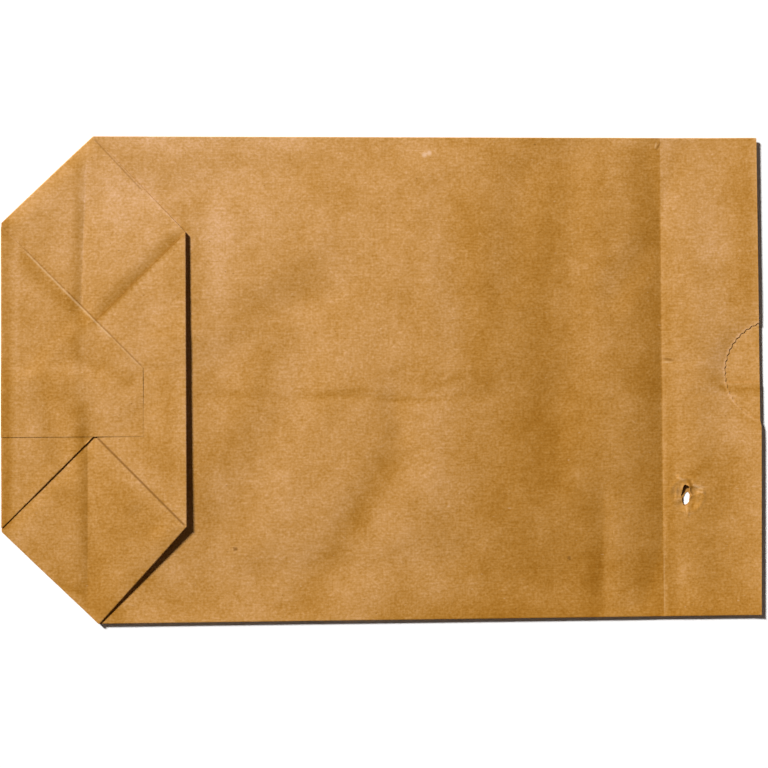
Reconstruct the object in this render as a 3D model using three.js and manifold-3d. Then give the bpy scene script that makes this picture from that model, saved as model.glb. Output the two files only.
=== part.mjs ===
// A brown kraft paper bag with a pasted cross bottom, empty and pressed flat.
//
// The bag is one sheet. It is rolled into a flat tube, lapped and pasted along the back, and the tube's
// lower end is opened into a six-sided bottom: two tapered flaps meet over the two corner pockets and are
// pasted down. The bottom then lies folded over on the front of the bag.
//
// Millimetres. +X runs from the folded bottom to the mouth, +Y across the bag, +Z up from the back ply,
// which the bag lies on. The origin is under the middle of the bag.

import * as THREE from "three";
import { mergeVertices } from "three/addons/utils/BufferGeometryUtils.js";
import Module from "manifold-3d";

// ---------------------------------------------------------------- driving dimensions

const LENGTH = 250; // folded bottom edge to mouth
const WIDTH = 160; // across the flat tube
const PAPER = 0.12; // one ply
const PRESSED = 0.1; // what each further ply adds where plies are pasted together
const BOTTOM_HALF = 30; // bottom centre line to either long fold of the bottom
const FLAP_REACH = 15.6; // how far a bottom flap passes the centre line
const MOUTH_PANEL = 32.6; // mouth to the crease where the top was once turned down

const SIDE_BULGE = 0.74; // the corners' rounded folds stand this far outside the side fold lines
const BOTTOM_BULGE = 0.48; // and the left fold of the bottom this far outside its own

const LAP_EDGE_OUTER = -18.8; // back seam: edge of the outer side of the sheet
const LAP_EDGE_INNER = -3.3; // back seam: edge of the inner side of the sheet
const LAP_JOG = 0.15; // run of the sheet's step over an edge

const KRAFT = 0xb9813f;

// ---------------------------------------------------------------- places worked out from them

const xLeft = -LENGTH / 2 + BOTTOM_BULGE; // left fold of the bottom
const xCentre = xLeft + BOTTOM_HALF; // centre line, where the front ply turns back
const xRight = xCentre + BOTTOM_HALF; // right fold of the bottom
const xMouth = LENGTH / 2;
const xCrease = xMouth - MOUTH_PANEL;
const ySide = WIDTH / 2 - SIDE_BULGE; // side fold lines
const yCorner = ySide - BOTTOM_HALF; // corners of the bottom: its slanting folds run at 45 degrees
const yPocket = ySide - 2 * BOTTOM_HALF - FLAP_REACH; // cut end of each corner pocket

// ---------------------------------------------------------------- heights of the plies

const FRONT_AT_CENTRE = 1.0; // underside of the front ply at the bottom's centre line
const FRONT_AT_CREASE = 0.5; // at the mouth crease, which dips
const FRONT_AT_MOUTH = 0.7; // at the open mouth
const TURN_GAP = 0.2; // air between the front ply and its turned-back end
const BOTTOM_LOW = 0.36; // underside of the bottom at its left fold
const BOTTOM_HIGH = 2.8; // and at its right fold, which springs up

const slope = (x0, z0, x1, z1) => (x) => z0 + ((z1 - z0) * (x - x0)) / (x1 - x0);

const ground = () => 0;
const bodyLift = slope(xCentre, FRONT_AT_CENTRE, xCrease, FRONT_AT_CREASE);
const mouthLift = slope(xCrease, FRONT_AT_CREASE, xMouth, FRONT_AT_MOUTH);
const bottomLift = slope(xLeft, BOTTOM_LOW, xRight, BOTTOM_HIGH);
const turnedLift = slope(
  xCentre,
  FRONT_AT_CENTRE + PAPER + TURN_GAP,
  xRight,
  BOTTOM_HIGH - PAPER - TURN_GAP / 2,
);

// The pasted bottom is a pack of plies, counted from its underside.
const level = (n) => (x) => bottomLift(x) + n * PRESSED;
const POCKET = 0;
const RIGHT_TUCK = 1; // the part of a pocket that turns over with the right flap
const RIGHT_FLAP = 2;
const LEFT_TUCK = 3;
const LEFT_FLAP = 4;
const LEFT_LAP = 5; // the outer side of the sheet where the back seam crosses the left flap

// ---------------------------------------------------------------- making solids

const wasm = await Module();
wasm.setup();

function solid(geometry) {
  geometry.deleteAttribute("normal");
  geometry.deleteAttribute("uv");
  const merged = mergeVertices(geometry, 1e-5);
  return new wasm.Manifold(
    new wasm.Mesh({
      numProp: 3,
      vertProperties: new Float32Array(merged.attributes.position.array),
      triVerts: new Uint32Array(merged.index.array),
    }),
  );
}

function moved(geometry, place) {
  const position = geometry.attributes.position;
  const point = new THREE.Vector3();
  for (let i = 0; i < position.count; i++) {
    place(point.fromBufferAttribute(position, i));
    position.setXYZ(i, point.x, point.y, point.z);
  }
  return geometry;
}

const outline = (points) => new THREE.Shape(points.map(([x, y]) => new THREE.Vector2(x, y)));
const mirrored = (points) => points.map(([x, y]) => [x, -y]).reverse();

// One flat or sloping stretch of the sheet: a plan outline, lifted to its height.
function ply(points, lift) {
  const flat = new THREE.ExtrudeGeometry(outline(points), { depth: PAPER, bevelEnabled: false });
  return solid(moved(flat, (p) => (p.z += lift(p.x))));
}

// A turned fold: the sheet goes half round from the ply whose underside is at low to the one whose top is
// at high. It follows a straight line of plan points and stands out to the left of it. Its two tails are
// rooted in the plies, creasing has pressed it thinner than they are, and it stops just short of the
// corners, where creased paper wears into pinholes.
const FOLD_STEPS = 6;
const TAIL = 0.3;
const SHORT = 0.06;
const SUNK = (PAPER - PRESSED) / 2;

// The section is drawn with an outer radius of 1, an inner one of 1/2 and tails of length 1.
function foldSection() {
  const section = new THREE.Shape();
  section.moveTo(-1, -1);
  section.absarc(0, 0, 1, -Math.PI / 2, Math.PI / 2, false);
  section.lineTo(-1, 1);
  section.lineTo(-1, 0.5);
  section.absarc(0, 0, 0.5, Math.PI / 2, -Math.PI / 2, true);
  section.lineTo(-1, -0.5);
  return section;
}

function fold(line, low, high) {
  const points = line.map(([x, y]) => new THREE.Vector2(x, y));
  const last = points.length - 1;
  const along = points[last].clone().sub(points[0]).normalize();
  points[0].addScaledVector(along, SHORT);
  points[last].addScaledVector(along, -SHORT);
  const turn = new THREE.ExtrudeGeometry(foldSection(), {
    depth: last,
    steps: last,
    bevelEnabled: false,
    curveSegments: FOLD_STEPS,
  });
  return solid(
    moved(turn, (p) => {
      const on = points[Math.round(p.z)];
      const tail = p.x < -1e-6;
      const unit = tail ? Math.abs(p.y) : Math.hypot(p.x, p.y);
      const half = (high(on.x, on.y) - low(on.x, on.y)) / 2;
      const radius = half - SUNK - 2 * PRESSED * (1 - unit);
      const out = tail ? p.x * TAIL : (p.x / unit) * radius;
      const x = on.x - along.y * out;
      const y = on.y + along.x * out;
      const rise = ((p.y / unit) * radius) / half;
      p.set(x, y, (high(x, y) + low(x, y) + rise * (high(x, y) - low(x, y))) / 2);
    }),
  );
}

const topOf = (lift) => (x) => lift(x) + PAPER;
const joined = (solids) => solids.reduce((whole, piece) => whole.add(piece));

// A tall cutter over a plan outline, for the notch and the torn hole.
function cutter(points, low, high) {
  const tall = new THREE.ExtrudeGeometry(outline(points), { depth: high - low, bevelEnabled: false });
  return solid(moved(tall, (p) => (p.z += low)));
}

// ---------------------------------------------------------------- back ply and its pasted seam

// The back ply's mouth edge runs a little short of the front one below the thumb notch.
const MOUTH_SHORT = 0.7;

function backPly() {
  const outerSide = [
    [xLeft, LAP_EDGE_OUTER],
    [xMouth - MOUTH_SHORT, LAP_EDGE_OUTER],
    [xMouth, ySide / 4],
    [xMouth, ySide],
    [xCentre, ySide],
    [xLeft, yCorner],
  ];
  const innerSide = [
    [xLeft, -yCorner],
    [xCentre, -ySide],
    [xMouth, -ySide],
    [xMouth - MOUTH_SHORT, LAP_EDGE_OUTER - LAP_JOG],
    [xLeft, LAP_EDGE_OUTER - LAP_JOG],
  ];
  const lap = [
    [xLeft, LAP_EDGE_OUTER - 2 * LAP_JOG],
    [xMouth - MOUTH_SHORT, LAP_EDGE_OUTER - 2 * LAP_JOG],
    [xMouth - MOUTH_SHORT, LAP_EDGE_INNER],
    [xLeft, LAP_EDGE_INNER],
  ];
  return joined([ply(outerSide, ground), ply(innerSide, ground), ply(lap, () => PRESSED)]);
}

// ---------------------------------------------------------------- front ply and side folds

function frontPly() {
  const body = [
    [xCentre, -ySide],
    [xCrease, -ySide],
    [xCrease, ySide],
    [xCentre, ySide],
  ];
  const mouth = [
    [xCrease, -ySide],
    [xMouth, -ySide],
    [xMouth, ySide],
    [xCrease, ySide],
  ];
  return joined([ply(body, bodyLift), ply(mouth, mouthLift)]);
}

function sideFolds() {
  const line = [
    [xCentre, ySide],
    [xCrease, ySide],
    [xMouth, ySide],
  ];
  const top = (x) => (x < xCrease ? bodyLift(x) : mouthLift(x)) + PAPER;
  return joined([fold(line, ground, top), fold(mirrored(line), ground, top)]);
}

// ---------------------------------------------------------------- turned-back front ply

function turnedPly() {
  const panel = [
    [xCentre, -ySide],
    [xRight, -yCorner],
    [xRight, yCorner],
    [xCentre, ySide],
  ];
  return joined([
    ply(panel, turnedLift),
    fold([[xCentre, -ySide], [xCentre, ySide]], bodyLift, topOf(turnedLift)),
  ]);
}

// ---------------------------------------------------------------- corner pockets

function cornerPockets() {
  const pocket = [
    [xLeft, yPocket],
    [xRight, yPocket],
    [xRight, yCorner],
    [xCentre, ySide],
    [xLeft, yCorner],
  ];
  const rightTuck = [
    [xCentre - FLAP_REACH, yPocket],
    [xRight, yPocket],
    [xRight, yCorner],
  ];
  const leftTuck = [
    [xLeft, yPocket],
    [xCentre + FLAP_REACH, yPocket],
    [xLeft, yCorner],
  ];
  const plies = [
    [pocket, POCKET],
    [rightTuck, RIGHT_TUCK],
    [leftTuck, LEFT_TUCK],
  ];
  const folds = [
    [[[xLeft, yCorner], [xCentre, ySide]], ground, POCKET],
    [[[xCentre, ySide], [xRight, yCorner]], turnedLift, POCKET],
    [[[xLeft, yPocket], [xLeft, yCorner]], level(POCKET), LEFT_TUCK],
  ];
  const onBothSides = (points, make) => [make(points), make(mirrored(points))];
  return joined([
    ...plies.flatMap(([points, n]) => onBothSides(points, (side) => ply(side, level(n)))),
    ...folds.flatMap(([line, low, n]) => onBothSides(line, (side) => fold(side, low, topOf(level(n))))),
  ]);
}

// ---------------------------------------------------------------- bottom flaps

// Over the back seam the left flap is a ply higher.
const lapStart = LAP_EDGE_OUTER;
const lapEnd = LAP_EDGE_INNER + LAP_JOG;
const clamp = THREE.MathUtils.clamp;
const lapRise = (y) => PRESSED * clamp(Math.min(y - lapStart + LAP_JOG, lapEnd - y) / LAP_JOG, 0, 1);

function bottomFlaps() {
  const rightFlap = [
    [xCentre - FLAP_REACH, -yPocket],
    [xRight, -yCorner],
    [xRight, yCorner],
    [xCentre - FLAP_REACH, yPocket],
  ];
  const leftFlap = [
    [xLeft, -yCorner],
    [xCentre + FLAP_REACH, -yPocket],
    [xCentre + FLAP_REACH, yPocket],
    [xLeft, yCorner],
  ];
  // The outer side of the sheet isn't folded with the flap's slant: its edge runs on straight.
  const leftLap = [
    [xLeft, lapStart],
    [xCentre + FLAP_REACH, lapStart],
    [xCentre + FLAP_REACH, lapEnd - LAP_JOG],
    [xLeft, lapEnd - LAP_JOG],
  ];
  const paste = [
    [xCentre - FLAP_REACH, -yPocket],
    [xCentre + FLAP_REACH, -yPocket],
    [xCentre + FLAP_REACH, yPocket],
    [xCentre - FLAP_REACH, yPocket],
  ];
  const leftFold = [-yCorner, lapStart - LAP_JOG, lapStart, lapEnd - LAP_JOG, lapEnd, yCorner];
  const flapTop = (x, y) => topOf(level(LEFT_FLAP))(x) + lapRise(y);
  return joined([
    ply(rightFlap, level(RIGHT_FLAP)),
    ply(paste, level(LEFT_TUCK)),
    ply(leftFlap, level(LEFT_FLAP)),
    ply(leftLap, level(LEFT_LAP)),
    fold(leftFold.map((y) => [xLeft, y]), ground, flapTop),
    fold([[xRight, yCorner], [xRight, -yCorner]], turnedLift, topOf(level(RIGHT_FLAP))),
  ]);
}

// ---------------------------------------------------------------- thumb notch

const NOTCH_CHORD = 33.7;
const NOTCH_DEPTH = 11.7;
const NOTCH_Y = 1.3; // the notch sits a little off the middle of the mouth
const NOTCH_TEETH = 25; // the notch is cut with a toothed knife
const TOOTH = 0.45;

function thumbNotch() {
  const half = NOTCH_CHORD / 2;
  const radius = (half ** 2 + NOTCH_DEPTH ** 2) / (2 * NOTCH_DEPTH);
  const centreX = xMouth - NOTCH_DEPTH + radius;
  const reach = Math.PI * 0.5; // beyond the mouth edge on both sides
  const points = [];
  for (let i = 0; i <= 2 * NOTCH_TEETH; i++) {
    const angle = Math.PI - reach + (i * 2 * reach) / (2 * NOTCH_TEETH);
    const r = radius - (i % 2) * TOOTH;
    points.push([centreX + r * Math.cos(angle), NOTCH_Y + r * Math.sin(angle)]);
  }
  const between = (ground() + 2 * PAPER + FRONT_AT_CREASE) / 2; // only the front ply is cut
  return cutter(points, between, FRONT_AT_MOUTH + 1);
}

// ---------------------------------------------------------------- torn hole near the mouth

const TEAR_X = xMouth - 24.4;
const TEAR_Y = -39.4;

function tear() {
  const front = [
    [-1.2, 3.5],
    [-1.75, 0.7],
    [-1.2, -0.6],
    [-0.7, -2.5],
    [0.1, -3.4],
    [1.5, -2.3],
    [1.0, -0.6],
    [1.6, 0.7],
    [0.4, 1.4],
    [0.1, 3.2],
  ];
  const back = [
    [-0.9, 0.6],
    [-0.8, -2.2],
    [0.1, -3.1],
    [1.2, -2.2],
    [0.8, -0.4],
    [1.2, 0.8],
    [0.3, 1.6],
  ];
  const at = (points) => points.map(([x, y]) => [TEAR_X + x, TEAR_Y + y]);
  const between = 2 * PAPER + 0.1;
  return cutter(at(front), between, FRONT_AT_MOUTH + 1).add(cutter(at(back), -1, between + 0.05));
}

// ---------------------------------------------------------------- the bag

const paperBag = joined([
  backPly(),
  frontPly(),
  sideFolds(),
  turnedPly(),
  cornerPockets(),
  bottomFlaps(),
])
  .subtract(thumbNotch())
  .subtract(tear());

function toGeometry(manifold) {
  const mesh = manifold.getMesh();
  return new THREE.BufferGeometry()
    .setAttribute("position", new THREE.BufferAttribute(mesh.vertProperties, 3))
    .setIndex(new THREE.BufferAttribute(mesh.triVerts, 1));
}

const kraftPaper = new THREE.MeshStandardMaterial({ color: KRAFT, roughness: 0.85, metalness: 0 });
const bag = new THREE.Mesh(toGeometry(paperBag), kraftPaper);
bag.name = "paper_bag";

const part = new THREE.Group();
part.add(bag);

export default part;
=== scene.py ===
import math

import bmesh
import bpy
import numpy as np
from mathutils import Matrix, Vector, noise


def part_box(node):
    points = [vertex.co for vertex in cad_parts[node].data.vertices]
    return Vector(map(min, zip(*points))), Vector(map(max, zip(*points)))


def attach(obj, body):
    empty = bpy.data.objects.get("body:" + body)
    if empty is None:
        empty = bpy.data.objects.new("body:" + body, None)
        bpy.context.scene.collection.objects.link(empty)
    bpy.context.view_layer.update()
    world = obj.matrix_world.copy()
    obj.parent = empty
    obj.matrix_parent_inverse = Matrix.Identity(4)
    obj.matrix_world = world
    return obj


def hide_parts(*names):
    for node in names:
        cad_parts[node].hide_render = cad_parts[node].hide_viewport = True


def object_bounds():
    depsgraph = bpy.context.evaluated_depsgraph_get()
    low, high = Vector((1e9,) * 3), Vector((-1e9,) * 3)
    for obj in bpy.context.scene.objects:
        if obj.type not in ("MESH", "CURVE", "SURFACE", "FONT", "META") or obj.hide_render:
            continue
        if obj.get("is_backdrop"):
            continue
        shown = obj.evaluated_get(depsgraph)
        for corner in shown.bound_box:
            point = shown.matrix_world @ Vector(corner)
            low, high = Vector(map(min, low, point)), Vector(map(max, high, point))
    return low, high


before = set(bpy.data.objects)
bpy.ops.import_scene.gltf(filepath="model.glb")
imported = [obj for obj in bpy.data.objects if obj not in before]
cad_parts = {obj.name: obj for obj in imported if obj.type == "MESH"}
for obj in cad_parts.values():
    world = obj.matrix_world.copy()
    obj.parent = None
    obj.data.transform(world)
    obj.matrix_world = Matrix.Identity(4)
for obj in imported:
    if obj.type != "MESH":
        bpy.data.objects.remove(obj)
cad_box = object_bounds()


# ------------------------------------------------------------------ the studio
# The bag lies on a plain white table that runs into a white room. One lamp stands low on its upper left and
# rakes over the paper, and a weak warm light fills the shadows. The camera hangs over the bag on a long lens.

bpy.ops.mesh.primitive_plane_add(size=6.0, location=(0, 0, 0))
table = bpy.context.object
table.name = "table"
white = bpy.data.materials.new("white_table")
white.use_nodes = True
white_paint = white.node_tree.nodes["Principled BSDF"].inputs
white_paint["Base Color"].default_value = (0.93, 0.93, 0.93, 1)
white_paint["Roughness"].default_value = 0.9
white_paint["Specular IOR Level"].default_value = 0.2
table.data.materials.append(white)
table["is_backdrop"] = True

LAMP_TURN = math.radians(137)
LAMP_HEIGHT = math.radians(26)
lamp = bpy.data.objects.new("lamp", bpy.data.lights.new("lamp", "SUN"))
lamp.data.energy = 7.55
lamp.data.angle = math.radians(9)
lamp.rotation_euler = (0, math.pi / 2 - LAMP_HEIGHT, LAMP_TURN)
bpy.context.collection.objects.link(lamp)

room = bpy.data.worlds.new("room")
bpy.context.scene.world = room
room.use_nodes = True
ROOM_WHITE = (1, 1, 1, 1)
FILL_LIGHT = (0.055, 0.038, 0.028, 1)
wall = room.node_tree.nodes["Background"]
toward = room.node_tree.nodes.new("ShaderNodeTexCoord")
elevation = room.node_tree.nodes.new("ShaderNodeSeparateXYZ")
upward = room.node_tree.nodes.new("ShaderNodeMapRange")  # white at the horizon, dim overhead
upward.inputs["From Min"].default_value = 0.165
upward.inputs["From Max"].default_value = 0.215
tint = room.node_tree.nodes.new("ShaderNodeMix")
tint.data_type = "RGBA"
tint.inputs[6].default_value = ROOM_WHITE
tint.inputs[7].default_value = FILL_LIGHT
room.node_tree.links.new(toward.outputs["Object"], elevation.inputs["Vector"])
room.node_tree.links.new(elevation.outputs["Z"], upward.inputs["Value"])
room.node_tree.links.new(upward.outputs["Result"], tint.inputs[0])
room.node_tree.links.new(tint.outputs[2], wall.inputs["Color"])

camera = bpy.data.objects.new("camera", bpy.data.cameras.new("camera"))
camera.data.lens = 85
camera.data.sensor_width = 36
camera.location = (-0.0364, -0.0189, 0.5968)
camera.rotation_euler = (math.radians(1.634), math.radians(-3.469), math.radians(-0.404))
bpy.context.collection.objects.link(camera)
bpy.context.scene.camera = camera

view = bpy.context.scene.view_settings
view.view_transform = "Standard"


# ------------------------------------------------------------------ the bag
# One sheet of kraft paper, rolled into a flat tube that is lapped and pasted along the back. Its lower end
# is opened into a six-sided bottom, whose two flaps are folded in over the corner pockets and pasted, and
# the bottom lies turned up over the front. Each flat stretch of the sheet is cut out of a fine grid here.

MM = 0.001
low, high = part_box("paper_bag")
PAPER = 0.11 * MM
PLY_STEP = 0.12 * MM  # from one ply's middle to the next where they are pasted or pressed together
FOLD_ROOM = 0.35 * MM  # the rounded edges stand this far outside the fold lines
FINE = 1.4 * MM  # the cells of a ply that shows
COARSE = 2.8 * MM  # and of one that lies hidden inside or underneath
HEM = 0.3 * MM  # a fold's curve begins this far from its line

left = low.x + FOLD_ROOM
right = high.x
side = high.y - FOLD_ROOM
inner_fold = -65.1 * MM
flap_end = -78.95 * MM
hidden_end = -110 * MM
lap_outer = -18.8 * MM  # the back seam's outer edge
lap_inner = -2.2 * MM
pocket_end = 3.6 * MM  # the corner pockets' cut ends stand this far from the middle
tuck_end = 4 * MM

top_apex = (-94.9 * MM, side)  # the bottom was turned up a little askew
low_apex = (-93.4 * MM, -side)
top_left = (left, 51.0 * MM)
low_left = (left, -49.4 * MM)
top_right = (inner_fold, 47.8 * MM)
low_right = (inner_fold, -48.3 * MM)
top_flap_root = (left, 49.8 * MM)  # the flap was folded in a little short of the corners
low_flap_root = (left, -48.1 * MM)
top_flap_tip = (flap_end, 3.5 * MM)
low_flap_tip = (flap_end, -2.6 * MM)
top_hidden_tip = (hidden_end, 3.6 * MM)
low_hidden_tip = (hidden_end, -2.5 * MM)

back_outer = [(left, lap_outer), (right, lap_outer), (right, side), top_apex, top_left]
back_inner = [low_left, low_apex, (right, -side), (right, lap_inner), (left, lap_inner)]
front = [low_apex, (right, -side), (right, side), top_apex]
turned = [low_apex, low_right, top_right, top_apex]
top_pocket = [(left, pocket_end), (inner_fold, pocket_end), top_right, top_apex, top_left]
low_pocket = [low_left, low_apex, low_right, (inner_fold, -pocket_end), (left, -pocket_end)]
top_right_tuck = [top_hidden_tip, (inner_fold, pocket_end), top_right]
low_right_tuck = [low_hidden_tip, low_right, (inner_fold, -pocket_end)]
top_left_tuck = [(left, tuck_end), top_flap_tip, top_flap_root]
low_left_tuck = [low_flap_root, low_flap_tip, (left, -pocket_end)]
right_flap = [low_hidden_tip, low_right, top_right, top_hidden_tip]
left_flap_outer = [(left, lap_outer), (flap_end, lap_outer), top_flap_tip, top_flap_root]
left_flap_inner = [low_flap_root, low_flap_tip, (flap_end, lap_inner), (left, lap_inner)]


def stroke(x, y, start, end, left_reach, right_reach, sharp):
    """How much a stroke from start to end (in mm) is felt at each point: 1 on it, 0 past its reach on either
    side. A sharp stroke is a crease, and any other is a soft wave."""
    (x0, y0), (x1, y1) = start, end
    span = math.hypot(x1 - x0, y1 - y0) or 1
    along_x, along_y = (x1 - x0) / span, (y1 - y0) / span
    run = (x / MM - x0) * along_x + (y / MM - y0) * along_y
    off = (y / MM - y0) * along_x - (x / MM - x0) * along_y
    reach = np.where(off > 0, left_reach, right_reach) + 0.001
    past = np.maximum(np.maximum(-run, run - span), 0) / max(left_reach, right_reach)
    near = np.clip(1 - np.hypot(off / reach, past), 0, 1)
    return near**2 if sharp else near**2 * (3 - 2 * near)


def strokes(x, y, table_of_strokes):
    """What all the strokes of a list add up to at each point."""
    total = np.zeros_like(x)
    for start, end, amount, left_reach, right_reach, sharp in table_of_strokes:
        total += amount * stroke(x, y, start, end, left_reach, right_reach, sharp)
    return total


def ripple(x, y, size, seed):
    """Gentle unevenness between -1 and 1 that repeats about every size millimetres."""
    grain = 1 / (size * MM)
    return np.array([noise.noise((a * grain, b * grain, seed)) for a, b in zip(x, y)])


# What handling has done to the front: (start, end, height in mm, reach to its left, to its right, sharp).
FRONT_WAVES = [
    ((92.6, 84), (92.2, -84), -0.62, 16, 15, True),  # the top was once turned down here
    ((60, 84), (60, -6), -0.4, 14, 32, False),
    ((-20, 30), (-54, 4), -0.32, 22, 16, False),
    ((-28, 2), (-50, -44), -0.26, 16, 14, False),
    ((6, -6), (1, -27), -0.16, 16, 12, False),
    ((4, -27), (-8, -46), -0.17, 16, 10, False),
    ((-8, -46), (-26, -74), -0.18, 16, 12, False),
    ((57, -8), (57, -34), -0.14, 6, 14, False),
    ((-76, 20), (-20, 26), -0.1, 9, 9, False),
    ((20, 60), (28, 12), -0.16, 12, 12, False),
    ((46, 66), (42, 30), -0.16, 10, 10, False),
    ((-84, 62), (-30, 66), -0.1, 12, 10, False),
    ((-40, -64), (26, -58), -0.12, 10, 10, False),
    ((72.5, -40), (72, -84), -0.2, 6, 8, True),
    ((86, 40), (77, 27), -0.22, 8, 9, False),
    ((3, -8), (5, -18), -0.16, 5, 6, False),
    ((-62, -5.5), (-38, -6.6), -0.05, 2, 2.5, True),  # the back seam shows through
    ((-38, -6.8), (-12, -5.6), -0.06, 2, 3, True),
    ((-12, -5.6), (8, -7.2), -0.06, 2, 3.4, True),
    ((8, -7.2), (36, -5.8), -0.05, 2, 3, True),
    ((103, -5.6), (114, -5.7), -0.1, 2, 2.5, True),
    ((92.5, 5.4), (102, 4.7), -0.16, 2, 2.5, True),
    ((91.5, 80), (93.5, 75), -0.25, 2, 2, True),
    ((127, 76), (127, 21), -0.5, 4, 7, False),
    ((2, 80), (2, 75), -0.12, 2, 2, True),
    ((74, -77), (92, -75.5), -0.15, 3, 3, True),
    ((22.5, -75), (22.5, -80), -0.1, 1.5, 1.5, True),
    ((102.3, -35.4), (106, -38.6), 0.2, 0.8, 0.8, True),  # cracks that run out from the tear
    ((101.6, -36.6), (105.2, -36.4), 0.08, 0.7, 0.7, True),
    ((102.4, -38.2), (104.6, -39.4), 0.16, 0.6, 0.6, True),
    ((97.6, -33.4), (99.6, -35.9), 0.26, 0.8, 0.8, True),
    ((97, -37.2), (97, -40), 0.16, 0.7, 0.7, True),
    ((100.8, -43.6), (100.6, -46.4), 0.12, 0.7, 0.7, True),
]

# Something has been pushed through both plies near the mouth. The outlines are the hole's radii in the front
# and in the back, in mm, at even steps all the way round.
TEAR = (100.4, -39.6)
TEAR_OUTLINE = [1.9, 1.6, 1.4, 3.0, 3.6, 2.3, 1.7, 1.9, 1.6, 2.4, 3.7, 3.0, 1.6, 1.4]
BACK_TEAR = [1.1, 1.0, 1.0, 1.3, 0.9, 0.8, 0.8, 0.7, 1.1, 2.0, 3.3, 2.6, 1.4, 1.1]

NOTCH = (131.0, 1.3)  # the thumb notch's centre, its radius, and its blade's teeth round a whole circle
NOTCH_ROUND = 17.5
TOOTH_DEPTH = 0.45
TEETH = 50


def around(x, y, spot):
    """How far from a spot each point is, in mm, and in which direction."""
    away = np.hypot(x / MM - spot[0], y / MM - spot[1])
    return away, np.arctan2(y / MM - spot[1], x / MM - spot[0])


def torn_edge(turn, outline):
    """The hole's radius in each direction."""
    steps = np.linspace(0, 2 * math.pi, len(outline) + 1)
    return np.interp(np.mod(turn, 2 * math.pi), steps, outline + outline[:1])


def notch_edge(turn):
    """The notch's radius in each direction."""
    wave = np.abs(np.mod(turn * TEETH / math.pi, 2) - 1)
    return NOTCH_ROUND - TOOTH_DEPTH * wave


def dent(x, y, outline, lips):
    """The dish pressed round the tear, its raised rim, and the torn lips, in mm."""
    away, turn = around(x, y, TEAR)
    dish = -0.4 * np.exp(-((away / 3.8) ** 2)) + 0.08 * np.exp(-(((away - 5.6) / 0.7) ** 2))
    past = np.maximum(away - torn_edge(turn, outline), 0)
    curl = np.exp(-past / 0.9) * (0.5 + 0.5 * np.cos(turn - 0.9)) ** 2
    cracks = 0.1 * np.cos(5 * turn + 1) * np.exp(-(((away - 3.4) / 1.8) ** 2))
    return dish + lips * curl + cracks


def inside(x, y, outline):
    """How far inside an outline each point is, and below 0 how far outside."""
    depth = np.full(x.shape, math.inf)
    for (x0, y0), (x1, y1) in zip(outline, outline[1:] + outline[:1]):
        edge = math.hypot(x1 - x0, y1 - y0)
        depth = np.minimum(depth, ((y - y0) * (x1 - x0) - (x - x0) * (y1 - y0)) / edge)
    return depth


# The body still holds a little air. This is how far it puffs the front up along the bag, in mm.
PUFFED_AT = [-95, -60, -20, 15, 45, 75, 92, 104, 115, 125]
PUFFED_BY = [0.9, 1.1, 1.8, 2.2, 1.9, 1.2, 0.75, 0.7, 0.3, 0.05]
EMPTY_GAP = 0.24  # from the back ply's middle to the front's where no air is left, in mm
NOTCH_GAP = 0.17  # at the notch
LEAST_GAP = 0.13  # and where they touch
LYING = 0.07  # the back ply's middle above the table, in mm
MOUTH_CURL = 0.85  # it curls up this much more at the mouth
SIDE_CURL = 0.7  # and along its lower side


def crown(y, power):
    """1 along the middle of the bag, and 0 at its side folds. A high power makes it flat in between."""
    return 1 - np.clip(np.abs(y) / side, 0, 1) ** power


def back_lift(x, y):
    """The height of the back ply, which lies on the table."""
    mouth = np.clip((x / MM - 100) / 25, 0, 1) ** 2
    low_side = np.clip((-y / MM - 60) / 20, 0, 1) ** 2
    return (LYING + np.maximum(MOUTH_CURL * mouth, SIDE_CURL * low_side)) * MM


def lap_lift(x, y):
    """The height of the back's inner ply, which laps over the outer one at the seam."""
    lapped = np.minimum(y - lap_outer, lap_inner - y) / MM + 1
    return back_lift(x, y) + np.clip(lapped, 0, 1) * PLY_STEP


def front_lift(x, y):
    """The height of the front ply, which air, creases and the tear have shaped."""
    puff = np.interp(x / MM, PUFFED_AT, PUFFED_BY)
    waves = strokes(x, y, FRONT_WAVES) + 0.1 * ripple(x, y, 24, 1.5) + 0.035 * ripple(x, y, 8, 4.5)
    near_mouth = np.clip((126 - x / MM) / 16, 0.15, 1)
    eased = np.clip(crown(y, 12) * 1.2 + 0.1, 0, 1) * near_mouth
    gap = EMPTY_GAP + puff * crown(y, 2.4) + waves * eased + dent(x, y, TEAR_OUTLINE, 0.5)
    from_notch = np.clip((around(x, y, NOTCH)[0] - NOTCH_ROUND) / 7, 0, 1)
    gap = NOTCH_GAP + (gap - NOTCH_GAP) * from_notch * (2 - from_notch)
    return np.maximum(back_lift(x, y) + np.maximum(gap, LEAST_GAP) * MM, lap_lift(x, y) + PLY_STEP)


# The bottom's waves, listed as the front's are. Its sharp creases were pressed in when the bag was made.
BOTTOM_WAVES = [
    ((-97.2, 76), (-98, 50), -0.1, 14, 4.2, True),
    ((-98, 54), (-99, 25), -0.22, 14, 4.4, True),
    ((-99, 25), (-97.5, -18), -0.12, 9, 5, True),
    ((-97, -19), (-97.2, -70), -0.24, 14, 4.2, True),
    ((-112, 33), (-99, 20), -0.1, 3, 3, False),
    ((-79, 16.2), (-67, 16.2), -0.12, 1.4, 1.6, True),
    ((-77, 2.9), (-67, 2.8), -0.1, 1.4, 1.6, True),
    ((-80, -44), (-76, -48), -0.2, 5, 5, False),
    ((-106, -67), (-97, -69.5), -0.14, 1.5, 2, True),
    ((-104, 8), (-84, -2), -0.18, 7, 6, False),
    ((-112, -4), (-104, -30), -0.16, 6, 6, False),
]
APEX_LINE = -94 * MM  # the bottom hinges on the bag along here
SPRING_AT = [left, APEX_LINE, inner_fold]
SPRING = [0.42, 0.22, 1.2]  # how far it stands off from what is beneath it there, in mm
LEAN = 0.36  # it stands off by this share more at its lower side, and less at its upper
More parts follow.
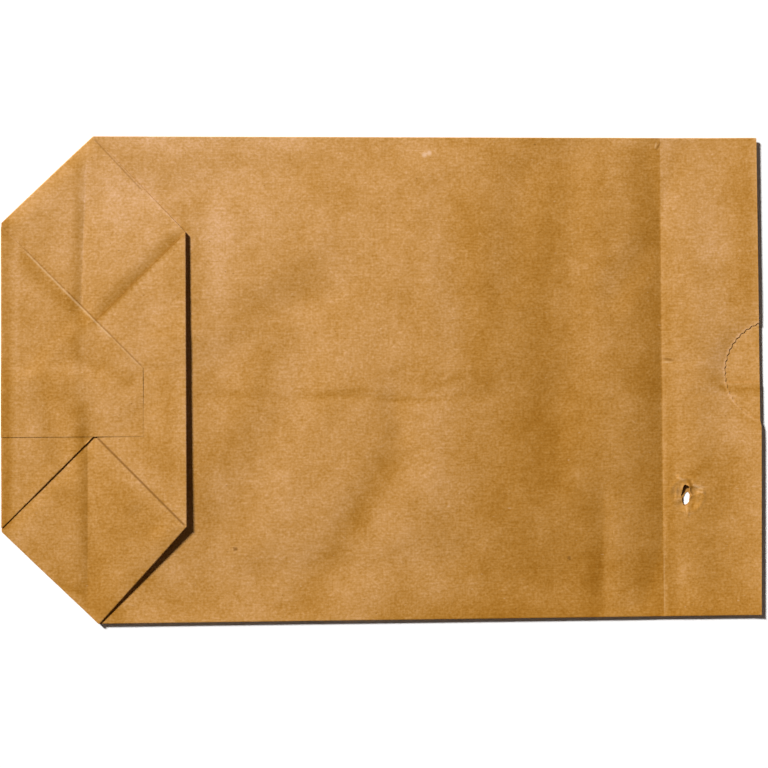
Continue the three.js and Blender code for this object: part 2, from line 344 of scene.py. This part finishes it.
TOP_OPEN = 0.3  # how far the bare ends of the two pockets bulge, in mm
LOW_OPEN = 0.18
top_open_tip = (-94.3 * MM, 19.1 * MM)  # the flaps leave the pockets bare as far in as here
low_open_tip = (-94.6 * MM, -18.2 * MM)
UNDER_POCKETS = 0.25 * MM  # the front's turned-back end stops this far below them
DRAPE = 7 * MM  # a ply comes down this far beside the one under it
# Toward the flaps' tips the paste has drawn the plies together, to this share of their full steps.
TIGHT_AT = [-100, -94, -84, -79]
TIGHT_BY = [1, 0.58, 0.58, 0.35]


def bottom_lift(x, y):
    """The height of the turned-up bottom, which springs up toward its free fold."""
    reach = np.clip((x - left) / (APEX_LINE - left), 0, 1)
    beneath = front_lift(np.maximum(x, APEX_LINE), y) * reach
    spring = np.interp(x, SPRING_AT, SPRING) * (1 - LEAN * y / side * reach)
    waves = strokes(x, y, BOTTOM_WAVES) + 0.06 * ripple(x, y, 14, 9.5) + 0.025 * ripple(x, y, 6, 2.5)
    return beneath + (spring + waves * crown(y, 8)) * MM


def swell(x, y, outline):
    """A soft bulge inside an outline, 1 at its top."""
    rise = np.clip(inside(x, y, outline) / (5 * MM), 0, 1)
    return rise * (2 - rise)


def pocket_lift(x, y):
    """The height of the two corner pockets."""
    top_bulge = swell(x, y, [top_apex, top_left, top_open_tip, top_right])
    low_bulge = swell(x, y, [low_left, low_apex, low_right, low_open_tip])
    return bottom_lift(x, y) + (TOP_OPEN * top_bulge + LOW_OPEN * low_bulge) * MM


def turned_lift(x, y):
    """The height of the front's turned-back end, which climbs from the front to the bottom's free fold."""
    apex = low_apex[0] + (top_apex[0] - low_apex[0]) * (y - low_apex[1]) / (top_apex[1] - low_apex[1])
    along = np.clip((x - apex) / (inner_fold - apex), 0, 1)
    start = front_lift(x, y) + PAPER
    return start + (bottom_lift(x, y) - UNDER_POCKETS - start) * along


def stacked(under, springs=()):
    """The height of a ply laid on the pockets and on all these plies, a step higher over each. An edge that
    springs up is given as strokes."""

    def lift(x, y):
        count = 1
        for outline in under:
            beside = np.clip(-inside(x, y, outline) / DRAPE, 0, 1)
            count = count + (1 - beside) ** 2 * (1 + 2 * beside)
        tight = np.interp(x / MM, TIGHT_AT, TIGHT_BY)
        return bottom_lift(x, y) + PLY_STEP * (1 + (count - 1) * tight) + strokes(x, y, springs) * MM

    return lift


def coordinates(ply):
    """The place of every point of a mesh, one to a row."""
    points = np.empty(len(ply.data.vertices) * 3)
    ply.data.vertices.foreach_get("co", points)
    return points.reshape(-1, 3)


def select_faces(ply, wanted):
    """Leaves only the faces selected whose middles are wanted."""
    bpy.ops.mesh.select_all(action="DESELECT")
    bpy.ops.mesh.select_mode(type="FACE")
    mesh = bmesh.from_edit_mesh(ply.data)
    for face in mesh.faces:
        middle = face.calc_center_median()
        face.select_set(bool(wanted(middle.x, middle.y)))
    bmesh.update_edit_mesh(ply.data)


def cut(start, end, offset, clear):
    """Cuts the grid being edited along a line, offset to its outer side, and may clear what is outside it."""
    (x0, y0), (x1, y1) = start, end
    edge = math.hypot(x1 - x0, y1 - y0)
    outward = ((y1 - y0) / edge, (x0 - x1) / edge, 0)
    point = (x0 + outward[0] * offset, y0 + outward[1] * offset, 0)
    bpy.ops.mesh.select_all(action="SELECT")
    bpy.ops.mesh.bisect(plane_co=point, plane_no=outward, clear_outer=clear, threshold=0.001 * MM)


NEAR_EDGE = 0.6  # a cut point this near an opening's true edge is drawn onto it, in mm


def make_ply(name, outline, lift, cell, creases=(), openings=()):
    """Cuts one ply out of a fine grid by its corners and its openings, and lifts it to its height. An opening
    is a centre, the radii between which the grid is finer, and its edge's radius for each direction."""
    bpy.ops.object.select_all(action="DESELECT")
    columns = round((high.x - low.x) / cell)
    rows = round((high.y - low.y) / cell)
    bpy.ops.mesh.primitive_grid_add(x_subdivisions=columns, y_subdivisions=rows, size=1)
    ply = bpy.context.object
    ply.name = name
    ply.scale = (high.x - low.x + 4 * MM, high.y - low.y + 4 * MM, 1)
    ply.location = ((high.x + low.x) / 2, (high.y + low.y) / 2, 0)
    bpy.ops.object.transform_apply(location=True, rotation=True, scale=True)
    bpy.ops.object.mode_set(mode="EDIT")
    for start, end in zip(outline, outline[1:] + outline[:1]):
        cut(start, end, 0, True)
        cut(start, end, -HEM, False)
    for start, end in creases:
        for offset in (-HEM, 0, HEM):
            cut(start, end, offset, False)
    bpy.ops.mesh.select_all(action="SELECT")
    bpy.ops.mesh.remove_doubles(threshold=0.05 * MM)
    for spot, nearest, furthest, edge_at in openings:
        select_faces(ply, lambda x, y: nearest < around(x, y, spot)[0] < furthest)
        bpy.ops.mesh.subdivide(number_cuts=3)
        select_faces(ply, lambda x, y: around(x, y, spot)[0] < edge_at(around(x, y, spot)[1]))
        bpy.ops.mesh.delete(type="FACE")
    bpy.ops.object.mode_set(mode="OBJECT")
    mesh = bmesh.new()
    mesh.from_mesh(ply.data)
    for spot, nearest, furthest, edge_at in openings:
        for vert in [v for v in mesh.verts if v.is_boundary]:
            away, turn = around(vert.co.x, vert.co.y, spot)
            if away < edge_at(turn) + NEAR_EDGE and vert.co.x < right - 0.01 * MM:
                vert.co.x = (spot[0] + edge_at(turn) * math.cos(turn)) * MM
                vert.co.y = (spot[1] + edge_at(turn) * math.sin(turn)) * MM
    mesh.to_mesh(ply.data)
    mesh.free()
    points = coordinates(ply)
    points[:, 2] = lift(points[:, 0], points[:, 1])
    ply.data.vertices.foreach_set("co", points.ravel())
    ply.vertex_groups.new(name=name).add(range(len(points)), 1, "REPLACE")
    return ply


notch = (NOTCH, NOTCH_ROUND - 2.5, NOTCH_ROUND + 2, notch_edge)
front_tear = (TEAR, 0, 8, lambda turn: torn_edge(turn, TEAR_OUTLINE))
back_tear = (TEAR, 0, 8, lambda turn: torn_edge(turn, BACK_TEAR))


def torn_back_lift(x, y):
    """The height of the back's inner ply with the lips that the tear has left in it."""
    return lap_lift(x, y) + np.maximum(dent(x, y, BACK_TEAR, 0.3), 0) * 0.4 * MM


under_right_flap = [top_right_tuck, low_right_tuck]
under_left_tucks = under_right_flap + [right_flap]
under_left_flap = under_left_tucks + [top_left_tuck, low_left_tuck]
# The left flap's lower edge has come a little loose.
loose_edge = [((-112, -35.2), (-100, -23.6), 0.08, 5, 7, False)]
mouth_crease = ((92.2 * MM, -side), (92.6 * MM, side))
top_crease = ((-99 * MM, 25 * MM), (-97.2 * MM, 76 * MM))
low_crease = ((-97.2 * MM, -70 * MM), (-97 * MM, -19 * MM))
top_root_line = (top_flap_root, (0, top_flap_root[1]))
low_root_line = (low_flap_root, (0, low_flap_root[1]))

plies = [
    make_ply("back_outer", back_outer, back_lift, COARSE, [top_root_line]),
    make_ply("back_inner", back_inner, torn_back_lift, COARSE, [low_root_line], [back_tear]),
    make_ply("front", front, front_lift, FINE, [mouth_crease], [notch, front_tear]),
    make_ply("turned", turned, turned_lift, COARSE),
    make_ply("top_pocket", top_pocket, pocket_lift, FINE, [top_crease, top_root_line]),
    make_ply("low_pocket", low_pocket, pocket_lift, FINE, [low_crease, low_root_line]),
    make_ply("top_right_tuck", top_right_tuck, stacked([]), COARSE),
    make_ply("low_right_tuck", low_right_tuck, stacked([]), COARSE),
    make_ply("right_flap", right_flap, stacked(under_right_flap), FINE),
    make_ply("top_left_tuck", top_left_tuck, stacked(under_left_tucks), COARSE),
    make_ply("low_left_tuck", low_left_tuck, stacked(under_left_tucks, loose_edge), COARSE),
    make_ply("left_flap_inner", left_flap_inner, stacked(under_left_flap, loose_edge), FINE),
    make_ply("left_flap_outer", left_flap_outer, stacked(under_left_flap + [left_flap_inner]), FINE),
]


def slide_mouth(ply, below_notch):
    """Shifts a ply's end outward at the mouth, which was not cut quite square."""
    points = coordinates(ply)
    near = np.clip((points[:, 0] / MM - 112) / 13, 0, 1)
    out = np.interp(points[:, 1] / MM, [-80, -17, -15, 80], [0, below_notch, 0.35, 0.25])
    points[:, 0] += near * out * MM
    ply.data.vertices.foreach_set("co", points.ravel())


for ply, below_notch in zip(plies, (0.3, 0.3, 0.75)):  # the back's two sides, and the front
    slide_mouth(ply, below_notch)
for ply in plies:
    ply.select_set(True)
bpy.context.view_layer.objects.active = plies[0]
bpy.ops.object.join()
bag = bpy.context.object
bag.name = "folded_bag"

FOLD_STEPS = 6  # where the sheet turns over, it goes half round from one ply to the next
NEAR_LINE = 0.03 * MM  # an edge point this near a fold line lies on it


def row_on_fold(mesh, name, start, along, span):
    """The ply's edge points that lie on a fold line, in order."""
    group = bag.vertex_groups[name].index
    weights = mesh.verts.layers.deform.active
    row = []
    for vert in mesh.verts:
        if vert.is_boundary and group in vert[weights]:
            offset = vert.co.xy - start
            on_line = abs(offset.cross(along)) < NEAR_LINE
            if on_line and -NEAR_LINE < offset.dot(along) < span + NEAR_LINE:
                row.append(vert)
    return sorted(row, key=lambda vert: vert.co.xy.dot(along))


def join_rows(mesh, row, other, along):
    """Fills between two rows of points that need not be equally many."""
    run = [vert.co.xy.dot(along) for vert in row]
    other_run = [vert.co.xy.dot(along) for vert in other]
    i = j = 0
    while i < len(row) - 1 or j < len(other) - 1:
        gap = math.inf
        if i < len(row) - 1 and j < len(other) - 1:
            gap = run[i + 1] - other_run[j + 1]
        if abs(gap) < 0.01 * MM:
            mesh.faces.new((row[i], row[i + 1], other[j + 1], other[j]))
            i, j = i + 1, j + 1
        elif j == len(other) - 1 or (i < len(row) - 1 and gap < 0):
            mesh.faces.new((row[i], row[i + 1], other[j]))
            i += 1
        else:
            mesh.faces.new((row[i], other[j + 1], other[j]))
            j += 1


def fold(under, over, start, end, away_from=(0, 0)):
    """Joins two plies round a half-round edge along one fold line, on the side away from a point."""
    start, end, away_from = Vector(start), Vector(end), Vector(away_from)
    span = (end - start).length
    along = (end - start) / span
    out = Vector((along.y, -along.x))
    if (away_from - start).dot(out) > 0:
        out = -out
    mesh = bmesh.new()
    mesh.from_mesh(bag.data)
    lower = row_on_fold(mesh, under, start, along, span)
    upper = row_on_fold(mesh, over, start, along, span)
    run = [vert.co.xy.dot(along) for vert in lower]
    heights = np.interp(run, [vert.co.xy.dot(along) for vert in upper], [vert.co.z for vert in upper])
    rows = [lower]
    for step in range(1, FOLD_STEPS):
        turn = math.pi * step / FOLD_STEPS
        row = []
        for vert, height in zip(lower, heights):
            half = (height - vert.co.z) / 2
            place = vert.co.xy + out * half * math.sin(turn)
            row.append(mesh.verts.new((place.x, place.y, vert.co.z + half * (1 - math.cos(turn)))))
        rows.append(row)
    for row, following in zip(rows, rows[1:]):
        join_rows(mesh, row, following, along)
    join_rows(mesh, rows[-1], upper, along)
    mesh.to_mesh(bag.data)
    mesh.free()


fold("back_outer", "front", top_apex, (right, side))
fold("back_inner", "front", low_apex, (right, -side))
fold("front", "turned", low_apex, top_apex)
fold("turned", "right_flap", low_right, top_right, away_from=top_left)
fold("back_outer", "left_flap_outer", (left, lap_outer), top_flap_root)
fold("back_inner", "left_flap_inner", low_flap_root, (left, lap_inner))
fold("back_outer", "top_pocket", top_left, top_apex)
fold("back_outer", "top_pocket", top_flap_root, top_left)
fold("back_inner", "low_pocket", low_left, low_apex)
fold("back_inner", "low_pocket", low_left, low_flap_root)
fold("turned", "top_pocket", top_apex, top_right, away_from=low_left)
fold("turned", "low_pocket", low_apex, low_right, away_from=top_left)
fold("top_pocket", "top_left_tuck", (left, tuck_end), top_flap_root)
fold("low_pocket", "low_left_tuck", low_flap_root, (left, -pocket_end))
fold("top_left_tuck", "left_flap_outer", top_flap_root, top_flap_tip, away_from=low_left)
fold("low_left_tuck", "left_flap_inner", low_flap_root, low_flap_tip, away_from=top_left)
fold("top_right_tuck", "right_flap", top_right, top_hidden_tip, away_from=low_right)
fold("low_right_tuck", "right_flap", low_right, low_hidden_tip, away_from=top_right)

bpy.ops.object.mode_set(mode="EDIT")
bpy.ops.mesh.select_all(action="SELECT")
bpy.ops.mesh.normals_make_consistent(inside=False)
bpy.ops.object.mode_set(mode="OBJECT")
thickness = bag.modifiers.new("paper", "SOLIDIFY")
thickness.thickness = PAPER
thickness.offset = 0
bpy.ops.object.modifier_apply(modifier="paper")
bpy.ops.object.shade_smooth_by_angle(angle=math.radians(40))

# The paper is unbleached kraft: brown fibres that lie mostly along the bag, cloudy, with a few dark and pale
# specks. The strokes below darken it where folding and rubbing have worn it, and they also paint shade and
# light:
# painted shade and painted highlight that stand in for the shading of the front's and the bottom's waves,
# creases and folds. Here a stroke's amount is how much darker it is, or paler where it is below 0: (start,
# end, amount, reach to its left, to its right, sharp).
SHADE_STROKES = [
    # painted shade where the body's broad waves turn away from the lamp
    ((54, 84), (55, 4), 0.42, 26, 42, False),
    ((46, -30), (44, -84), 0.56, 38, 32, False),
    ((72.5, -60), (71.5, -80), 0.36, 0.6, 11, False),
    ((73, -48), (72, -60), 0.14, 2, 9, False),
    ((70, -30), (70, -70), 0.2, 14, 14, False),
    ((82, 64), (82, -84), 0.25, 18, 20, False),
    ((92.5, 84), (92.1, -84), 0.5, 0.4, 14, False),  # painted shade on the body's side of the mouth's crease
    # painted highlight and painted shade on the crease's mouth side
    ((93.5, 84), (93.3, 46), -0.2, 4, 0.8, False),
    ((94.5, 38), (94.2, -84), 0.2, 4, 1.6, False),
    ((108, -38), (110, -84), 0.42, 24, 22, False),
    ((106, 66), (106, 40), -0.15, 10, 12, False),
    ((0, -79.5), (124, -79.5), 0.3, 8, 8, False),  # painted shade along the lower side fold
    # painted shade of the front's waves
    ((-24, 33), (-52, 13), 0.2, 11, 11, False),
    ((-40, 4), (-52, -26), 0.28, 9, 9, False),
    ((4, -8), (1, -28), 0.26, 8, 8, False),
    ((2, -28), (-9, -46), 0.34, 8, 7, False),
    ((-10, -48), (-27, -74), 0.26, 9, 9, False),
    ((53, -4), (54, -34), 0.12, 7, 8, False),
    ((51, -14), (54, -20), 0.16, 4, 4, False),
    ((52, 50), (50, 4), 0.12, 14, 16, False),
    ((-84, 64), (-44, 58), -0.26, 22, 24, False),
    ((-55, 50), (-56, 8), -0.3, 12, 10, False),
    ((-106, 24), (-104, -28), 0.14, 20, 22, False),
    ((-96, -46), (-92, -50), 0.3, 26, 26, False),
    ((-92, 56), (-88, 44), -0.2, 22, 22, False),
    ((10, -50), (20, -70), 0.1, 24, 24, False),
    ((8, 24), (16, 2), 0.14, 12, 12, False),
    ((22, -14), (36, -44), 0.12, 10, 10, False),
    ((28, 56), (30, 8), 0.18, 10, 12, False),
    ((70, -40), (69, -80), 0.12, 2, 9, False),
    ((-76, -72), (30, -78), 0.14, 10, 10, False),
    ((-62, -5.5), (-18, -6.2), 0.12, 1.7, 2.4, False),  # painted shade where the back seam shows through
    ((-38, -6.8), (-12, -5.6), 0.12, 1.9, 2.6, False),
    ((-12, -5.6), (8, -7.2), 0.14, 2, 3, False),
    ((8, -7.2), (36, -5.8), 0.14, 1.9, 2.6, False),
    ((-54, -4), (-44, -5.4), 0.24, 1.5, 2.2, False),
    ((-22, -4.8), (-2, -3.9), 0.32, 1.2, 2.4, False),
    ((-2, -6.8), (18, -7.2), 0.26, 1.4, 2.2, False),
    ((14, -4), (24, 0.2), 0.3, 1.6, 2.8, False),
    ((74, 4), (90, -4), 0.25, 7, 7, False),
    ((84, 34), (74, 20), 0.15, 6, 6, False),
    ((113, -4.3), (126, -4.3), 0.6, 2.2, 2.2, False),  # painted shade along the lap's edge, seen in the notch
    ((-123.4, 51), (-123.4, -48), 0.4, 2, 2, False),
    ((-124, 4), (-124, -46), 0.45, 8, 5, False),
    ((-120.2, 47), (-120.2, -40), -0.25, 1.4, 1.4, False),
    ((-125, 51), (-125, -49.4), 0.9, 0.45, 0.45, False),  # darker along the end folds
    ((-125, 51), (-95.4, 80), 0.7, 0.45, 0.45, False),
    ((-116, 39.5), (-98.5, 21.5), 0.4, 0, 5.4, False),
    ((-100, 20), (-100.6, 8), 0.3, 2.5, 3.5, False),
    ((-106, 31), (-106.5, 26), 0.2, 3, 3, False),
    ((-96, 6), (-84, -1), 0.26, 5, 5, False),
    ((-112, 12), (-107, -40), 0.12, 5, 5, False),
    # painted shade beside the bottom's creases
    ((-99, 70), (-100.5, 25), 0.34, 0.8, 4.2, False),
    ((-98.6, -10), (-98.8, -18), 0.3, 3, 4, False),
    ((-97.6, -19), (-97.2, -56), 0.4, 0.8, 4, False),
    # painted shade on the top pocket beside the right flap's edge, and above the bottom's corner
    ((-68, 44.6), (-95, 17.6), 0.42, 0.3, 5.4, False),
    ((-65.6, 49), (-66.8, 57), 0.4, 1.4, 3.2, False),
    ((-84, -38), (-72, -52), 0.3, 8, 8, False),
    ((-114, -56), (-96, -74), 0.3, 6, 6, False),
    ((-106, -67), (-98, -69.5), 0.35, 1.5, 2.2, False),
    ((-95, -62), (-90, -78), 0.4, 9, 9, False),
    ((-80, -14), (-72, -28), 0.22, 7, 7, False),
    ((-74, 14), (-70, -12), 0.1, 5, 5, False),
    ((122, 76), (122, 22), 0.35, 4, 11, False),
    ((95, 80), (112, 62), 0.1, 7, 7, False),
    ((102, -33), (108, -29), 0.4, 4, 4, False),
    ((-88, 78), (-28, 78), -0.32, 8, 8, False),
    ((42, 79), (43, 73), -0.25, 6, 6, False),
    ((84, 79), (95, 77), -0.3, 6, 6, False),
    ((73, 79), (73, 62), 0.22, 6, 6, False),
    ((-60, 58), (-60, -48), 0.2, 7, 6, False),
    ((-70.5, -8), (-70.5, -46), 0.15, 5, 4, False),
    ((-100, -20), (-99, -26), 0.22, 5, 5, False),
    ((-84, -66), (-74, -66), 0.24, 6, 6, False),
    ((10, -1), (34, -1), 0.2, 6, 6, False),
    ((55, -23), (72, -12), 0.22, 9, 9, False),
    ((109, -1), (118, -1), 0.22, 4, 4, False),
    ((112, -12), (120, -14), 0.14, 6, 6, False),
    ((24, 56), (22, 38), 0.12, 9, 9, False),
    ((34, 30), (32, -2), 0.12, 8, 8, False),
    ((56, -66), (88, -64), 0.22, 10, 10, False),
    ((-76, 44), (-76, 12), -0.24, 8, 8, False),
    ((-101, 66), (-104, 30), -0.2, 8, 7, False),
    ((94.4, -20), (94.2, -84), 0.2, 4, 1.6, False),
    ((56, 32), (62, 18), -0.17, 7, 7, False),
    ((21, 22), (22, 8), -0.16, 7, 7, False),
    ((-80, -33), (-80, -46), -0.14, 6, 6, False),
]
# Along edges, a crease and the tear's cracks: the tear's lips darker with dirt, and painted highlight and
# painted shade where folds, the crease and the cracks' ridges face toward the lamp or away from it.
EDGE_STROKES = [
    ((100.9, -34.9), (102, -36.8), 0.9, 0.9, 0.9, False),
    ((102.6, -36.2), (106, -37.1), -0.7, 0.5, 0.5, False),
    ((103.6, -38.4), (106.2, -38.6), -0.6, 0.5, 0.5, False),
    ((97.4, -33.8), (98.9, -34.6), -0.6, 0.5, 0.5, False),
    ((103.2, -40.2), (102.2, -43.4), 0.5, 0.7, 0.9, False),
    ((-66.4, 46.6), (-95, 18.2), 0.35, 0.5, 0.5, False),
    ((-79, 61.6), (-67, 50), -0.5, 0.5, 0.5, False),
    ((-64.9, 46), (-64.9, -47), -0.4, 0.5, 0.5, False),
    ((-97.2, 76), (-99, 25), -0.25, 0.7, 0, False),
]
NOTCH_RIM = 0.6  # the notch's cut edge is painted paler for this far, a painted highlight, in mm

# The strokes' wear, painted shade and painted highlight are stored on the points for the paper's colour.
points = coordinates(bag)
shade = strokes(points[:, 0], points[:, 1], SHADE_STROKES + EDGE_STROKES)
from_cut = np.abs(around(points[:, 0], points[:, 1], NOTCH)[0] - NOTCH_ROUND) / NOTCH_RIM
# painted highlight along the notch's cut edge
shade -= 0.5 * np.clip(1 - from_cut, 0, 1)
burnish_and_painted_shade = bag.data.attributes.new("burnish_and_painted_shade", "FLOAT", "POINT")
burnish_and_painted_shade.data.foreach_set("value", shade)

kraft = bpy.data.materials.new("kraft_paper")
kraft.use_nodes = True
kraft.node_tree.nodes.clear()


class Ink:
    """A value in the paper's shader. Arithmetic on it adds Math nodes, and node() adds any other node."""

    def __init__(self, socket):
        self.socket = socket

    def _math(self, operation, *values):
        return node("ShaderNodeMath", {"operation": operation}, dict(enumerate(values)))

    def __add__(self, other):
        return self._math("ADD", self, other)

    def __radd__(self, other):
        return self._math("ADD", other, self)

    def __sub__(self, other):
        return self._math("SUBTRACT", self, other)

    def __rsub__(self, other):
        return self._math("SUBTRACT", other, self)

    def __mul__(self, other):
        return self._math("MULTIPLY", self, other)

    def __rmul__(self, other):
        return self._math("MULTIPLY", other, self)


def node(kind, settings, values, output=0):
    """Adds a node, with its settings and the values or links of its sockets, and gives back its output."""
    made = kraft.node_tree.nodes.new(kind)
    for name, value in settings.items():
        setattr(made, name, value)
    for name, value in values.items():
        if isinstance(value, Ink):
            kraft.node_tree.links.new(value.socket, made.inputs[name])
        else:
            made.inputs[name].default_value = value
    return Ink(made.outputs[output]) if len(made.outputs) else None


place = node("ShaderNodeTexCoord", {}, {}, "Object")
in_mm = node("ShaderNodeVectorMath", {"operation": "SCALE"}, {0: place, "Scale": 1 / MM})


def stretched(x, y):
    return node("ShaderNodeVectorMath", {"operation": "MULTIPLY"}, {0: in_mm, 1: (x, y, 0)})


def speckle(vector, scale, detail=2.0, roughness=0.5):
    values = {"Vector": vector, "Scale": scale, "Detail": detail, "Roughness": roughness}
    return node("ShaderNodeTexNoise", {}, values, "Fac")


def ramp(value, from_low, from_high):
    values = {"Value": value, "From Min": from_low, "From Max": from_high, "To Min": 0.0, "To Max": 1.0}
    return node("ShaderNodeMapRange", {"clamp": True}, values)


def mix(factor, first, second):
    return node("ShaderNodeMix", {"data_type": "RGBA"}, {0: factor, 6: first, 7: second}, 2)


fibres = speckle(stretched(0.8, 0.9), 1.4, 2, 0.5)
tooth = speckle(stretched(0.6, 0.85), 1.5, 1, 0.4)
threads = speckle(stretched(0.1, 1.0), 2.0, 2, 0.6)
wires = speckle(stretched(1.0, 0.06), 2.2, 2, 0.6)  # the marks of the paper machine's wire
cloud = speckle(in_mm, 0.42, 3, 0.6)
blotch = speckle(in_mm, 0.075, 3, 0.55)
# wear together with painted shade and painted highlight, from the strokes
rubbing_and_shade = node("ShaderNodeAttribute", {"attribute_name": "burnish_and_painted_shade"}, {}, "Fac")

DEEP_TONE = (0.736, 0.579, 0.272, 1)
LIGHT_TONE = (0.914, 0.804, 0.702, 1)
# the next colour darkens dirt, specks and the painted shade lines, and the last one lightens raised fibres
# and painted highlights
DIRT_AND_SHADE = (0.2, 0.08, 0.008, 1)
PALE_SPECK = (0.8, 0.56, 0.36, 1)
SCUFF = (0.86, 0.62, 0.45, 1)
RAISED_FIBRE_AND_HIGHLIGHT = (0.8, 0.56, 0.32, 1)

tone = 0.5 + 0.85 * (fibres - 0.5) + 0.35 * (threads - 0.5) + 0.17 * (wires - 0.5)
tone = tone + 0.5 * (cloud - 0.5) + 0.55 * (blotch - 0.5)
# the strokes' painted shade and wear darken the tone
tone = tone - 0.55 * rubbing_and_shade
# the tone carries the paper's own variation and the strokes' painted shade
toned = mix(ramp(tone, -0.2, 1.05), DEEP_TONE, LIGHT_TONE)
colour = node("ShaderNodeGamma", {}, {"Color": toned, "Gamma": 4.0})  # a deeper tone is also redder
dark_specks = ramp(speckle(stretched(0.6, 1.0), 1.3, 1, 0.4), 0.765, 0.8)
pale_specks = ramp(speckle(stretched(0.5, 1.1), 1.1, 1, 0.3), 0.235, 0.2)
colour = mix(dark_specks * 0.55, colour, DIRT_AND_SHADE)
colour = mix(pale_specks * 0.2, colour, PALE_SPECK)

in_plan = stretched(1, 1)


def fleck(x, y, size):
    """1 inside a small ragged mark at a place on the bag, in mm, and 0 outside it."""
    away = node("ShaderNodeVectorMath", {"operation": "DISTANCE"}, {0: in_plan, 1: (x, y, 0)}, "Value")
    return ramp(away + 1.2 * size * (fibres - 0.5), size, 0.4 * size)


for x, y, size in [(-49.3, -55.7, 0.95), (60.7, -59.9, 0.85)]:
    colour = mix(0.7 * fleck(x, y, size), colour, DIRT_AND_SHADE)
scuffed = fleck(13.8, 73.7, 1.1) + fleck(15.4, 74.3, 1.0)
colour = mix(0.4 * scuffed, colour, SCUFF)

height = node("ShaderNodeSeparateXYZ", {}, {0: in_mm}, 2)
on_top = ramp(height, 0.14, 0.18)  # 0 on the back ply, which gets none of these lines


def hairline(start, end, half_width):
    """1 along a thin line between two places on the upper side of the bag, in mm, and 0 beside it."""
    span = math.dist(start, end)
    along = ((end[0] - start[0]) / span, (end[1] - start[1]) / span, 0)
    across = (-along[1], along[0], 0)
    away = node("ShaderNodeVectorMath", {"operation": "SUBTRACT"}, {0: in_plan, 1: (*start, 0)})
    run = node("ShaderNodeVectorMath", {"operation": "DOT_PRODUCT"}, {0: away, 1: along}, "Value")
    off = node("ShaderNodeVectorMath", {"operation": "DOT_PRODUCT"}, {0: away, 1: across}, "Value")
    return on_top * ramp(off * off, half_width**2, 0.0) * ramp(run * (span - run), 0.0, span)


# Thin dark lines: painted shade along flap edges, folds, the seam's edge and the dark sides of hard little
# wrinkles, and dirt caught in the tear's rim.
for start, end, half_width, amount in [
    ((-94.2, -18.8), (-65.3, -48.2), 0.5, 0.75),
    ((-94.9, 78.8), (-79, 61.6), 0.35, 0.4),
    ((-66.2, 46.6), (-95.5, 17.9), 0.3, 0.5),
    ((-104, 29.2), (-79, 3.8), 0.35, 0.4),
    ((-118, 43.3), (-104, 29.2), 0.35, 0.25),
    ((93.1, 78.4), (91.3, 75.3), 0.45, 0.75),
    ((92.7, 6), (96.8, 5.1), 0.55, 0.55),
    ((-124, -18.9), (-79, -18.9), 0.3, 0.12),
    ((101.2, -34.4), (101.9, -37.2), 0.7, 0.9),
    ((102, -37.6), (101.6, -41.6), 0.5, 0.8),
    ((98.7, -37.8), (99.7, -42), 0.4, 0.5),
]:
    colour = mix(amount * hairline(start, end, half_width), colour, DIRT_AND_SHADE)
# And thin pale lines: painted highlight on the lit sides of the wrinkles, a crease and the tear's raised
# cracks, and paler along the left flap's upper edge.
for start, end, half_width, amount in [
    ((-117, 41.6), (-89, 13.2), 0.4, 0.28),
    ((-89, 13.2), (-80, 4.1), 0.4, 0.12),
    ((91.7, 78.5), (91, 76), 0.4, 0.4),
    ((92.5, 4.7), (96.2, 4.6), 0.4, 0.3),
    ((92.7, -58), (92.5, -79), 0.3, 0.1),
    ((102.4, -36.3), (105.9, -37.7), 0.4, 0.4),
    ((103.6, -38.1), (106, -38.9), 0.35, 0.3),
    ((97.5, -33.4), (99.4, -34.6), 0.4, 0.3),
    ((100.1, -42.4), (100.3, -46), 0.3, 0.2),
]:
    colour = mix(amount * hairline(start, end, half_width), colour, RAISED_FIBRE_AND_HIGHLIGHT)

relief = 0.5 * tooth + 0.3 * threads + 0.6 * cloud
bump = node("ShaderNodeBump", {}, {"Height": relief, "Strength": 0.55, "Distance": 0.12 * MM})
roughness = 0.85 + 0.2 * (fibres - 0.5) - 0.04 * rubbing_and_shade
surface = node(
    "ShaderNodeBsdfPrincipled",
    {},
    {"Base Color": colour, "Roughness": roughness, "Normal": bump, "Specular IOR Level": 0.14},
)
node("ShaderNodeOutputMaterial", {}, {"Surface": surface})
bag.data.materials.clear()
bag.data.materials.append(kraft)

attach(bag, "root")
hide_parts("paper_bag")

boxes = {"cad": cad_box, "visual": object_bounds()}
{name: [list(corner) for corner in box] for name, box in boxes.items()}
